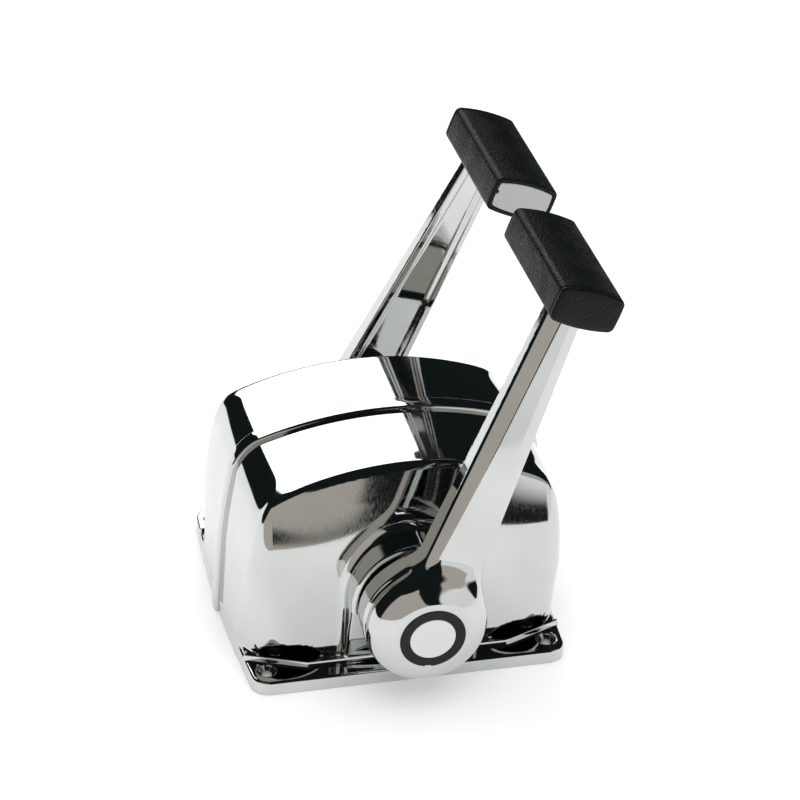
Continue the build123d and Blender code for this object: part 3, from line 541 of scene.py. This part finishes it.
# rays from inside the end profile, each pushed out to the outline by halving
widest = np.pi / 2 + math.atan2(housing["knee"], housing["length"] / 2 + housing["bulge"])
aim = np.linspace(-1, 1, band["steps"]) * widest
low, high = np.full(len(aim), band["nearest"]), np.full(len(aim), band["furthest"])
for _ in range(40):
    middle = (low + high) / 2
    outside = endOutline(middle * np.sin(aim), housing["knee"] + middle * np.cos(aim)) > 0
    low, high = np.where(outside, low, middle), np.where(outside, middle, high)
pathX, pathZ = low * np.sin(aim), housing["knee"] + low * np.cos(aim)
nudge = band["nudge"]
normal = np.stack([endOutline(pathX + nudge, pathZ) - endOutline(pathX - nudge, pathZ),
                   endOutline(pathX, pathZ + nudge) - endOutline(pathX, pathZ - nudge)], 1)
normal[[0, -1], 1] = 0
normalX, normalZ = unit(normal).T[..., None]
w, brow = band["width"] / 2, band["proud"] - band["crown"]
across, out = rounded([(-w, -band["depth"]), (-w, brow), (0, band["proud"]), (w, brow), (w, -band["depth"])],
                      [band["foot"], band["edge"], band["crownRadius"], band["edge"], band["foot"]]).T
grid = np.stack([pathX[:, None] + out * normalX, across + 0 * normalX,
                 np.maximum(pathZ[:, None] + out * normalZ, 0)], 2)
sweptPiece("centreBand", capped(grid), chrome, "housing", ["centre_band"])
print("band done")

# rib that parts each screw pocket from the mounting hole: a round-topped ridge along a bent
# line, smaller at its two ends
rib = {
    "top": 12.7, "topHalf": 0.8, "topEdge": 0.7, "foot": 8.6, "footHalf": 1.85, "edge": 0.1,    # section
    "endX": 101.0, "endY": 68.6, "bendX": 65.0, "bendRadius": 9.0, "y": 82.6, "steps": 12,    # path
    "closing": (0.0, 60.0), "endScale": 0.3, "endDrop": 0.15,
}
# the path's fifth corner only closes the loop, and its points are left out
path = rounded([(-rib["endX"], rib["endY"]), (-rib["bendX"], rib["y"]), (rib["bendX"], rib["y"]),
                (rib["endX"], rib["endY"]), rib["closing"]],
               [rib["edge"], rib["bendRadius"], rib["bendRadius"], rib["edge"], rib["edge"]],
               rib["steps"])[:4 * rib["steps"]]
along = unit(np.gradient(path, axis=0))
across, high = rounded([(-rib["footHalf"], rib["foot"]), (-rib["topHalf"], rib["top"]),
                        (rib["topHalf"], rib["top"]), (rib["footHalf"], rib["foot"])],
                       [rib["edge"], rib["topEdge"], rib["topEdge"], rib["edge"]]).T
shrink = np.ones((len(path), 1))
shrink[[0, -1]] = rib["endScale"]
tallest = rib["foot"] + (rib["top"] - rib["foot"]) * (1 - rib["endDrop"] * (1 - shrink))
grid = np.stack([path[:, :1] - across * shrink * along[:, 1:], -path[:, 1:] - across * shrink * along[:, :1],
                 np.minimum(high, tallest)], 2)
for sideName, mirror in sides.items():
    sweptPiece(sideName + "Ribs", capped(grid) * mirror, chrome, "housing")

# countersunk mounting holes: a lined funnel in each corner of the flange
funnel = {"outer": 6.6, "sink": 5.5, "hole": 3.3, "top": 8.7, "lip": 1.5, "sinkDepth": 2.2, "bottom": 0.05,
          "edges": (0.1, 0.15, 0.6, 0.2, 0.1)}
profile = rounded([(funnel["outer"], funnel["top"] - funnel["lip"]), (funnel["sink"], funnel["top"]),
                   (funnel["hole"], funnel["top"] - funnel["sinkDepth"]), (funnel["hole"], funnel["bottom"]),
                   (funnel["outer"], funnel["bottom"])], funnel["edges"])
for sideName, mirror in sides.items():
    for endName, x in (("Aft", -housing["mountX"]), ("Forward", housing["mountX"])):
        grid = upright(profile, x, -housing["mountY"])
        sweptPiece(sideName + endName + "MountHole", grid * mirror, chrome, "housing",
                   ring=True)

# cover screws: raised countersunk heads with a hexagon socket, the head's dome a parabola and the
# socket's radius the apothem over the cosine of the angle from the middle of each flat
screw = {"shank": 2.5, "foot": 2.5, "neckZ": 8.7, "under": 4.3, "underZ": 10.5, "rim": 4.78, "seat": 11.0,
         "bevel": 0.1, "bevelUp": 0.15, "domeUp": 0.2, "dome": 1.15, "margin": 0.25, "rings": 10,
         "socket": 1.5, "socketWall": ((1.0, 0.05), (0.97, 0.3), (0.95, 1.7), (0.0, 2.1)), "around": 96}
lower = [(0.0, screw["foot"]), (screw["shank"], screw["foot"]), (screw["shank"], screw["neckZ"]),
         (screw["under"], screw["underZ"]), (screw["rim"], screw["seat"]),
         (screw["rim"] - screw["bevel"], screw["seat"] + screw["bevelUp"])]
r = np.linspace(screw["rim"] - screw["margin"], screw["socket"] + screw["margin"], screw["rings"])
domed = screw["seat"] + screw["domeUp"] + screw["dome"] * (1 - (r / screw["rim"]) ** 2)
profile = np.concatenate([lower, np.stack([r, domed], 1)])
# the socket's wall in rows of (share of the hexagon, depth under the dome's inner edge)
share, depth = np.array(screw["socketWall"]).T[..., None]
turn = np.linspace(0, 2 * np.pi, screw["around"], endpoint=False)
hexagon = screw["socket"] / np.cos((turn % (np.pi / 3)) - np.pi / 6)
radii = np.concatenate([profile[:, :1] + 0 * turn, share * hexagon])
heights = np.concatenate([profile[:, 1:], domed[-1] - depth]) + 0 * turn
heads = [np.stack([x + radii * np.cos(turn), y + radii * np.sin(turn), heights], 2)
         for x in (-housing["screwX"], housing["screwX"]) for y in (-housing["screwY"], housing["screwY"])]
sweptPiece("coverScrews", heads, brightSteel, "housing", ["cover_screws"])
print("ribs, mounting holes and screws done")

# the two levers, in mm: turned hub and tapered arm as one polished casting
lever = {
    "lean": 21.5, "start": 14.0, "end": 222.0, "back": 103.5, "backSlope": 0.0846,    # arm
    "half": 21.5, "halfSlope": 0.045, "side": 15.6, "sideSlope": 0.0325,
    "panel": 16.0, "panelSlope": 0.055, "raise": 2.8, "sideEdge": 2.4, "panelEdge": 0.9, "backEdge": 1.2,
    "channelEdge": 4.5, "channelDepth": 2.6, "channelFrom": 40.0, "channelBow": 0.3,    # in its back
    "channelCosine": 0.707, "channelCorner": 0.8, "channelLip": 0.6,
    "hubBack": 95.8, "rim": 38.0, "rimSlope": 0.055, "rimCosine": 0.995,    # hub
    "grooveAt": 16.0, "groove": 1.7, "grooveOff": 0.9, "grooveStretch": 0.8, "grooveEdge": 0.7,
    "shoulder": 38.8, "shoulderAt": 25.0, "middleAt": 31.5, "middle": 32.0, "nose": 21.6,
    "front": 35.8, "noseEdge": 5.0, "frontEdge": 1.2, "hubEdge": 1.3, "seat": 19.6, "seatDepth": 2.0,
    "blend": 13.0,
    "bar": (25.0, 11.0), "barFrom": 21.5, "barTo": 110.0,    # in the grip
    "cell": 0.92, "normalStep": 0.12, "low": (-39.0, -132.0, 18.0),    # the skin's grid
    "inboard": -20.0, "past": (22.0, 16.0),
}
v = lever
lean = math.radians(v["lean"])
grip = {
    "centre": 227.5, "tilt": 2.5, "width": 42.2, "height": 25.3, "crown": 2.1, "sideBow": 0.5, "corner": 3.0,
    "cornerLoss": 0.6, "cornerLeast": 0.8, "around": 220,
    "inner": 18.0, "innerEdge": 1.2, "pit": (2.0, 9.0), "plateInset": 2.7,
    "mouth": ((2.0, 0.05), (0.5, 0.0), (0.15, -0.1), (0.0, -0.5)),    # (outboard, beyond the plate's inset)
    "ringsFrom": 24.0, "ringsShort": 5.0, "rings": 40,
    "seamEdge": 0.9, "seamGap": 0.05, "seamInset": 3.0,
    "outer": 115.5, "cap": 4.0, "endEdge": 1.6, "endBulge": 0.45, "endInsets": (2.5, 4, 5.5, 7, 8.2, 9),
}
gripTurn = math.radians(v["lean"] - grip["tilt"])
gripX, gripZ = grip["centre"] * math.sin(lean), housing["axis"] + grip["centre"] * math.cos(lean)


def circleThrough(p, q, r):
    # centre and radius of the circle through three points, from two perpendicular bisectors
    rows = 2 * np.array([np.subtract(q, p), np.subtract(r, p)])
    centre = np.linalg.solve(rows, [np.dot(q, q) - np.dot(p, p), np.dot(r, r) - np.dot(p, p)])
    return centre, math.dist(centre, p)


noseCentre, noseRadius = circleThrough((v["shoulderAt"], v["shoulder"]), (v["middleAt"], v["middle"]),
                                       (v["front"], v["nose"]))


def hubField(x, y, z):
    # plain rim with a rounded groove, then the convex front: a circle's arc turned about the shaft
    r, out = np.hypot(x, z - housing["axis"]), -y - v["hubBack"]
    rim = v["rimCosine"] * (r - v["rim"] - v["rimSlope"] * np.maximum(out - v["grooveAt"], 0))
    groove = v["groove"] + v["grooveOff"] - np.hypot(v["grooveStretch"] * (out - v["grooveAt"]),
                                                     r - v["rim"] - v["grooveOff"])
    rim = roundMax(rim, groove, v["grooveEdge"])
    nose = np.hypot(out - noseCentre[0], r - noseCentre[1]) - noseRadius
    nose = np.where(r > noseCentre[1], nose, out - noseCentre[0] - noseRadius)
    body = roundMax(roundMax(rim, nose, v["noseEdge"]), out - v["front"], v["frontEdge"])
    return roundMax(body, -out, v["hubEdge"])


def armField(x, y, z):
    # planes of the arm's section, each a true distance: back, sides, bevels and the raised panel
    u = x * math.sin(lean) + (z - housing["axis"]) * math.cos(lean)
    a = np.abs(x * math.cos(lean) - (z - housing["axis"]) * math.sin(lean))
    out = -y
    back = v["back"] - v["backSlope"] * u
    half = v["half"] - v["halfSlope"] * u
    side = back + v["side"] - v["sideSlope"] * u
    panel = v["panel"] - v["panelSlope"] * u
    bevel = ((a - half) * v["raise"] + (out - side) * (half - panel)) / np.hypot(v["raise"], half - panel)
    face = roundMax(bevel, out - side - v["raise"], v["panelEdge"])
    body = roundMax(face, a - half, v["sideEdge"])
    body = roundMax(body, back - out, v["backEdge"])
    # the channel in the back has slanted sides and a round end towards the hub
    slant = v["channelCosine"] * (a - half + v["channelEdge"] + out - back)
    channel = roundMax(slant, out - back - v["channelDepth"], v["channelCorner"])
    channel = np.maximum(channel, v["channelFrom"] + v["channelBow"] * a - u)
    body = roundMax(body, -channel, v["channelLip"])
    return np.maximum(np.maximum(body, u - v["end"]), v["start"] - u)


def leverField(x, y, z):
    # hub and arm joined by a fillet; the bar in the grip and the emblem's seat are plain
    body = roundMin(hubField(x, y, z), armField(x, y, z), v["blend"])
    seat = np.maximum(np.hypot(x, z - housing["axis"]) - v["seat"],
                      v["front"] - v["seatDepth"] + v["hubBack"] + y)
    dx, dz = x - gripX, z - gripZ
    across = np.abs(dx * math.cos(gripTurn) - dz * math.sin(gripTurn)) - v["bar"][0] / 2
    upward = np.abs(dx * math.sin(gripTurn) + dz * math.cos(gripTurn)) - v["bar"][1] / 2
    bar = np.maximum(np.maximum(across, upward), np.maximum(v["barFrom"] + y, -y - v["barTo"]))
    return np.minimum(np.maximum(body, -seat), bar)


high = (v["end"] * math.sin(lean) + v["past"][0], v["inboard"],
        housing["axis"] + v["end"] * math.cos(lean) + v["past"][1])
bothSides("Lever", leverField, v["low"], high, v)

# emblem ring, notched at its foot, and the bare disc inside it with a bright turned edge
emblem = {"outer": 20.5, "hole": 14.35, "front": 131.88, "back": 129.0, "discEdge": 14.3, "notchHalf": 1.9,
          "notchDeep": 1.3, "notchTurn": 0.1, "notchFade": 0.08,
          "edges": (0.2, 0.2, 0.3, 0.25), "around": 256,    # of the ring
          "discEdges": (0.1, 0.2, 0.55, 0.1), "discAround": 192}
back, front = emblem["back"], emblem["front"]
grid = turned(rounded([(back, emblem["hole"]), (back, emblem["outer"]), (front, emblem["outer"]),
                       (front, emblem["hole"])], emblem["edges"]), emblem["around"])
# the notch: inside its width, softly, no point is further out than its floor
upZ = grid[..., 2] - housing["axis"]
radius = np.hypot(grid[..., 0], upZ)
aside = np.abs(np.arctan2(grid[..., 0], -upZ) + emblem["notchTurn"])
beyond = aside * emblem["outer"] - emblem["notchHalf"]
floorRadius = emblem["outer"] - emblem["notchDeep"] * fade(beyond / emblem["notchFade"])
scale = np.minimum(radius, floorRadius) / radius
ringGrid = np.stack([grid[..., 0] * scale, grid[..., 1], housing["axis"] + upZ * scale], 2)
discGrid = turned(rounded([(back, 0.0), (back, emblem["discEdge"]), (front, emblem["discEdge"]),
                           (front, 0.0)], emblem["discEdges"], 8), emblem["discAround"])
for sideName, mirror in sides.items():
    body = sideName + "_lever"
    sweptPiece(sideName + "EmblemRing", ringGrid * mirror, blackAbs, body,
               [sideName + "_hub_ring"], ring=True)
    sweptPiece(sideName + "EmblemDisc", discGrid * mirror, satinDisc, body,
               [sideName + "_hub_disc"])
print("levers and emblems done")


# hand grips
def gripSection(inset):
    # a rounded oblong read at even steps, then crowned: its height grows by a parabola across
    # the width, and its sides bow by another
    halfWide, halfHigh = grip["width"] / 2 - inset, grip["height"] / 2 - grip["crown"] - inset
    corners = [(-halfWide, -halfHigh), (-halfWide, halfHigh), (halfWide, halfHigh), (halfWide, -halfHigh)]
    radius = max(grip["corner"] - grip["cornerLoss"] * inset, grip["cornerLeast"])
    loop = rounded(corners, [radius] * 4, 10)
    loop = np.concatenate([loop, loop[:1]])
    run = np.concatenate([[0], np.cumsum(np.linalg.norm(np.diff(loop, axis=0), axis=1))])
    even = np.linspace(0, run[-1], grip["around"], endpoint=False)
    a, b = np.interp(even, run, loop[:, 0]), np.interp(even, run, loop[:, 1])
    rise = grip["crown"] * (1 - (a / halfWide) ** 2) * np.clip(b / halfHigh, -1, 1)
    bow = grip["sideBow"] * (b / halfHigh) ** 2 * np.clip(a / halfWide, -1, 1)
    return np.stack([a - bow, b + rise], 1)


def gripGrid(rows):
    # rows of (distance outboard, inset), the section set in the grip's own tilted plane
    layers = []
    for out, inset in rows:
        a, b = gripSection(inset).T
        layers.append(np.stack([gripX + a * math.cos(gripTurn) + b * math.sin(gripTurn), -out + 0 * a,
                                gripZ - a * math.sin(gripTurn) + b * math.cos(gripTurn)], 1))
    return capped(np.array(layers))


def roundEnd(at, edge, way, steps=7):
    # a quarter circle in (distance, inset) at one end, way being +1 for the outer end
    t = np.linspace(0, np.pi / 2, steps)
    rows = [(at - way * edge * (1 - math.sin(q)), edge * (1 - math.cos(q))) for q in t]
    return rows if way > 0 else rows[::-1]


inner, rimInset = grip["inner"], grip["plateInset"]
capFace = grip["outer"] - grip["cap"]
sleeveEnd, capStart = capFace - grip["seamGap"], capFace + grip["seamGap"]
# the sleeve from the pit that holds the plate, round the inner end and along to the seam
sleeveRows = ([(inner + grip["pit"][0], grip["pit"][1])]
              + [(inner + deep, rimInset + more) for deep, more in grip["mouth"]]
              + roundEnd(inner, grip["innerEdge"], -1)
              + [(y, 0.0) for y in np.linspace(grip["ringsFrom"], capFace - grip["ringsShort"], grip["rings"])]
              + roundEnd(sleeveEnd, grip["seamEdge"], 1) + [(sleeveEnd, grip["seamInset"])])
# the cap, its outer face bulging by a shallow parabola
capRows = ([(capStart, grip["seamInset"])] + roundEnd(capStart, grip["seamEdge"], -1)
           + roundEnd(grip["outer"] - grip["endBulge"], grip["endEdge"], 1)
           + [(grip["outer"] - grip["endBulge"] * (1 - inset / grip["endInsets"][-1]) ** 2, inset)
              for inset in grip["endInsets"]])

# blank plate in the inner end, its outline that of the grip, with a small notch in its aft edge
blank = {"back": 1.9, "backInset": 4.0, "side": 0.5, "play": 0.1, "face": 0.3, "bevel": 0.35, "faceInset": 6.0,
         "notchDeep": 1.5, "notchUp": 1.5, "notchHalf": 1.3, "notchFade": 0.15, "notchAft": -16.0}
plateBack, plateFace = inner + blank["back"], inner + blank["face"]
plate = gripGrid([(plateBack, blank["backInset"]), (plateBack, rimInset + blank["play"]),
                  (inner + blank["side"], rimInset + blank["play"]),
                  (plateFace, rimInset + blank["bevel"]), (plateFace, blank["faceInset"])])
offX, offZ = plate[..., 0] - gripX, plate[..., 2] - gripZ
a = offX * math.cos(gripTurn) - offZ * math.sin(gripTurn)
b = offX * math.sin(gripTurn) + offZ * math.cos(gripTurn)
beyond = np.abs(b - blank["notchUp"]) - blank["notchHalf"]
deep = blank["notchDeep"] * fade(beyond / blank["notchFade"]) * (a < blank["notchAft"])
plate[..., 0] += deep * math.cos(gripTurn)
plate[..., 2] -= deep * math.sin(gripTurn)
gripPieces = {
    "GripSleeve": (gripGrid(sleeveRows), rubber, "black_rubber", "_grip"),
    "GripCap": (gripGrid(capRows), rubber, "black_rubber", "_grip_cap"),
    "GripPlate": (plate, greyAbs, "grey_plastic", "_grip_plate"),
}
for sideName, mirror in sides.items():
    for kind, (grid, material, slotName, ending) in gripPieces.items():
        sweptPiece(sideName + kind, grid * mirror, material, sideName + "_lever",
                   [sideName + ending])
print("grips done")

# floor: matt acrylic lit from inside, an even pale ground with a hint of tooth; its edges in mm
floor = {"left": -1500, "right": 1500, "near": -520, "far": 1500, "colour": "f6f6f5", "glow": 0.3,
         "roughness": 0.9, "grainPerMetre": 900.0, "grainStrength": 0.05, "grainDepth": 0.0002}
floorMaterial, shader = newMaterial("lit_matt_acrylic_floor")
place = addNode(floorMaterial, "ShaderNodeTexCoord")
fibre = addNode(floorMaterial, "ShaderNodeTexNoise", inputs={"Scale": floor["grainPerMetre"], "Detail": 3.0},
                links={"Vector": (place, "Object")})
lift = addNode(floorMaterial, "ShaderNodeBump", links={"Height": (fibre, "Fac")},
               inputs={"Strength": floor["grainStrength"], "Distance": floor["grainDepth"]})
shader.inputs["Base Color"].default_value = linear(floor["colour"])
shader.inputs["Roughness"].default_value = floor["roughness"]
shader.inputs["Emission Color"].default_value = linear(floor["colour"])
shader.inputs["Emission Strength"].default_value = floor["glow"]
feed(floorMaterial, shader, {"Normal": (lift, "Normal")})
mesh = bpy.data.meshes.new("paleFloor")
spread = [("left", "near"), ("right", "near"), ("right", "far"), ("left", "far")]
mesh.from_pydata([(floor[x] * mm, floor[y] * mm, 0) for x, y in spread], [], [(0, 1, 2, 3)])
mesh.materials.append(floorMaterial)
paleFloor = bpy.data.objects.new("paleFloor", mesh)
bpy.context.scene.collection.objects.link(paleFloor)


def standAt(obj, right, up, backward, place):
    # its own axes along three directions, at a place in metres
    obj.matrix_world = Matrix([*np.stack([right, up, backward, place], 1).tolist(), [0, 0, 0, 1]])
    bpy.context.scene.collection.objects.link(obj)


# soft boxes: bearing from straight behind the object (towards +X) and height angle in degrees,
# distance, width and height in metres, power in watts; all aim at a point above the deck
softBoxes = {
    "backBox": {"bearing": -2, "rise": 38, "distance": 2.2, "size": (1.5, 1.5), "power": 17,
                "glossy": True},
    "topBox": {"bearing": 180, "rise": 78, "distance": 2.2, "size": (2.4, 2.4), "power": 27,
               "glossy": False},
}
aimPoint = np.array([0, 0, 0.08])
for name, box in softBoxes.items():
    light = bpy.data.lights.new(name, "AREA")
    light.shape = "RECTANGLE"
    light.size, light.size_y = box["size"]
    light.energy = box["power"]
    obj = bpy.data.objects.new(name, light)
    bearing, rise = math.radians(box["bearing"]), math.radians(box["rise"])
    away = np.array([math.sin(bearing) * math.cos(rise), math.cos(bearing) * math.cos(rise), math.sin(rise)])
    sideways = np.array([-math.cos(bearing), math.sin(bearing), 0])
    obj.visible_glossy = box["glossy"]
    obj.visible_camera = False
    standAt(obj, sideways, np.cross(away, sideways), away, aimPoint + away * box["distance"])

# The studio round the object: pale for what it lights; for mirror-like surfaces a dark room with
# a warm grey wall in front and to the left, and to the right a bright window with a wall over it.
# Places are parts of the view direction, and each edge fades over its softness both ways.
studio = {"pale": "ffffff", "paleStrength": 0.5, "dark": "161c1c", "wall": "c4bdb5", "window": "ffffff",
          "frontAt": -0.3, "frontSoft": 0.05, "wallRight": 0.118, "wallLean": 0.413, "wallSoft": 0.003,
          "wallTop": 0.72, "windowLeft": 0.33, "windowSoft": 0.02, "windowTop": 0.3, "topSoft": 0.03}
world = bpy.data.worlds.new("studioRoom")
world.use_nodes = True
bpy.context.scene.world = world
world.node_tree.nodes.clear()
place = addNode(world, "ShaderNodeTexCoord")
split = addNode(world, "ShaderNodeSeparateXYZ", links={"Vector": (place, "Generated")})
slanted = addNode(world, "ShaderNodeMath", settings={"operation": "MULTIPLY_ADD"},
                  inputs={1: studio["wallLean"]}, links={0: (split, "Z"), 2: (split, "X")})
masks = {}
for mask, source, output, at, soft in (
        ("front", split, "Y", studio["frontAt"], -studio["frontSoft"]),
        ("left", slanted, "Value", studio["wallRight"], -studio["wallSoft"]),
        ("low", split, "Z", studio["wallTop"], -studio["topSoft"]),
        ("right", split, "X", studio["windowLeft"], studio["windowSoft"]),
        ("under", split, "Z", studio["windowTop"], -studio["topSoft"])):
    masks[mask] = addNode(world, "ShaderNodeMapRange", inputs={"From Min": at - soft, "From Max": at + soft},
                          links={"Value": (source, output)})
# each later mask joins two earlier ones
for mask, operation, first, second in (
        ("sideways", "MAXIMUM", "left", "right"), ("ahead", "MULTIPLY", "front", "low"),
        ("onWall", "MULTIPLY", "sideways", "ahead"), ("pane", "MULTIPLY", "right", "under"),
        ("onWindow", "MULTIPLY", "pane", "front")):
    masks[mask] = addNode(world, "ShaderNodeMath", settings={"operation": operation},
                          links={0: (masks[first], 0), 1: (masks[second], 0)})
room = addNode(world, "ShaderNodeValToRGB", links={"Fac": (masks["onWall"], "Value")},
               stops=[(0.0, studio["dark"]), (1.0, studio["wall"])])
glazed = addNode(world, "ShaderNodeMix", settings={"data_type": "RGBA"},
                 inputs={7: linear(studio["window"])},
                 links={0: (masks["onWindow"], "Value"), 6: (room, "Color")})
seen = addNode(world, "ShaderNodeBackground", links={"Color": (glazed, 2)})
lit = addNode(world, "ShaderNodeBackground",
              inputs={"Color": linear(studio["pale"]), "Strength": studio["paleStrength"]})
ray = addNode(world, "ShaderNodeLightPath")
choose = addNode(world, "ShaderNodeMixShader",
                 links={0: (ray, "Is Glossy Ray"), 1: (lit, "Background"), 2: (seen, "Background")})
addNode(world, "ShaderNodeOutputWorld", links={"Surface": (choose, "Shader")})
print("floor, soft boxes and studio done")

# the camera: angles in degrees, focal length in pixels of the image, place in mm
view = {"azimuth": -16.560, "elevation": 32.506, "roll": 3.770, "focal": 2932.71,
        "place": (-430.09, -1475.24, 1125.17), "image": 800, "sensor": 36}
azimuth, elevation, roll = (math.radians(view[k]) for k in ("azimuth", "elevation", "roll"))
backward = np.array([math.sin(azimuth) * math.cos(elevation), -math.cos(azimuth) * math.cos(elevation),
                     math.sin(elevation)])
level = np.array([math.cos(azimuth), math.sin(azimuth), 0])
skyward = np.cross(backward, level)
cameraData = bpy.data.cameras.new("studioCamera")
cameraData.sensor_width = view["sensor"]
cameraData.lens = view["focal"] / view["image"] * view["sensor"]
camera = bpy.data.objects.new("studioCamera", cameraData)
rolledLevel = level * math.cos(roll) + skyward * math.sin(roll)
rolledUp = skyward * math.cos(roll) - level * math.sin(roll)
standAt(camera, rolledLevel, rolledUp, backward, np.array(view["place"]) * mm)
bpy.context.scene.camera = camera
bpy.context.scene.view_settings.view_transform = "Standard"

print("camera set")
